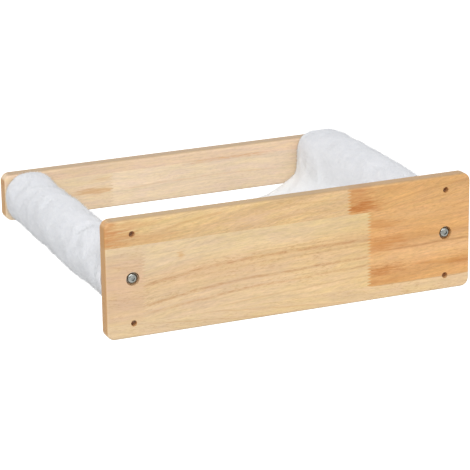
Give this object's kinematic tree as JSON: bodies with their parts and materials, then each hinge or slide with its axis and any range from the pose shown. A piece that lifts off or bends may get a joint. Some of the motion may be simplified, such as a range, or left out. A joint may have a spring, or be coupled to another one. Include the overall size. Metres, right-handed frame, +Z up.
{
  "type": "wall-mounted cat hammock",
  "caption": "Cat hammock for a wall: a tall and a low wooden board joined by two rods, with a sagging plush bed sleeved over the rods.",
  "frame": {"origin": "the middle of the wall board's wall face, at mid-height, level with the rods' axes", "axes": "+Z up, +Y into the wall, +X to the right as seen from the room; the hammock stands out towards -Y"},
  "size_m": [0.4186, 0.335, 0.125],
  "materials": {
    "stave_straw": "clear satin lacquer",
    "stave_tan": "clear satin lacquer",
    "stave_orange": "clear satin lacquer",
    "stave_pink": "clear satin lacquer",
    "rod_wood": "sanded, plain",
    "bolt_steel": "bright zinc plated",
    "insert_steel": "yellow zinc plated",
    "plush": "cut pile",
    "lining": "plain weave",
    "thread": "spun polyester"
  },
  "bodies": {
    "root": {"wall_board_top_stave_1": "stave_tan", "wall_board_top_stave_2": "stave_straw", "wall_board_middle_stave_1": "stave_orange", "wall_board_middle_stave_2": "stave_straw", "wall_board_middle_stave_3": "stave_pink", "wall_board_bottom_stave_1": "stave_straw", "front_board_bottom_stave_1": "stave_pink", "front_board_bottom_stave_2": "stave_straw", "front_board_top_stave_1": "stave_pink", "rod_left": "rod_wood", "bolt_wall_left": "bolt_steel", "washer_wall_left": "bolt_steel", "insert_wall_left": "insert_steel", "bolt_front_left": "bolt_steel", "washer_front_left": "bolt_steel", "insert_front_left": "insert_steel", "seam_thread_left": "thread", "rod_right": "rod_wood", "bolt_wall_right": "bolt_steel", "washer_wall_right": "bolt_steel", "insert_wall_right": "insert_steel", "bolt_front_right": "bolt_steel", "washer_front_right": "bolt_steel", "insert_front_right": "insert_steel", "seam_thread_right": "thread", "hammock_plush": "plush", "hammock_lining": "lining"}
  },
  "joints": []
}
